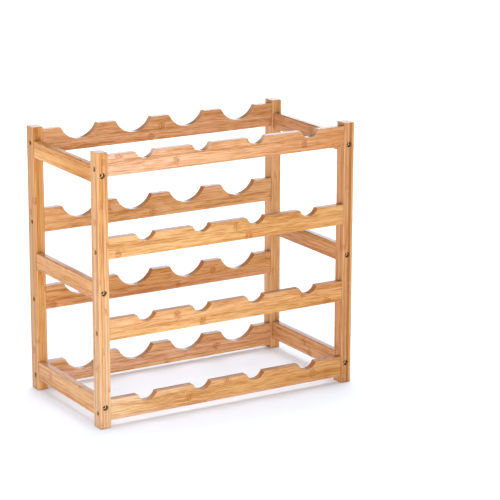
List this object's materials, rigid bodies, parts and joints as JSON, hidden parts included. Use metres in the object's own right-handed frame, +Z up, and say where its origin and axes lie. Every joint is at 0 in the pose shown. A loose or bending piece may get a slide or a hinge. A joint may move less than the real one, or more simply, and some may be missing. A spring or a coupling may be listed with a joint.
{
  "type": "wine rack",
  "caption": "Slatted bamboo rack that stores wine bottles on their sides in stacked tiers, with round notches for necks in the front rails and for bodies in the rear rails.",
  "frame": {"origin": "on the floor, midway between the feet", "axes": "+X along the front from left to right, +Y from front to back, +Z up"},
  "size_m": [0.43, 0.225, 0.405],
  "materials": {
    "bamboo": "satin lacquer",
    "screw_steel": "zinc plated",
    "dowel_wood": "bare"
  },
  "bodies": {
    "root": {"post_front_left": "bamboo", "post_front_right": "bamboo", "post_rear_left": "bamboo", "post_rear_right": "bamboo", "front_rail_1": "bamboo", "front_rail_2": "bamboo", "front_rail_3": "bamboo", "front_rail_4": "bamboo", "rear_rail_1": "bamboo", "rear_rail_2": "bamboo", "rear_rail_3": "bamboo", "rear_rail_4": "bamboo", "side_rail_left_bottom": "bamboo", "side_rail_left_middle": "bamboo", "side_rail_left_top": "bamboo", "side_rail_right_bottom": "bamboo", "side_rail_right_middle": "bamboo", "side_rail_right_top": "bamboo", "frame_screws": "screw_steel", "rail_screws": "screw_steel", "frame_dowels": "dowel_wood", "rail_dowels": "dowel_wood"}
  },
  "joints": []
}
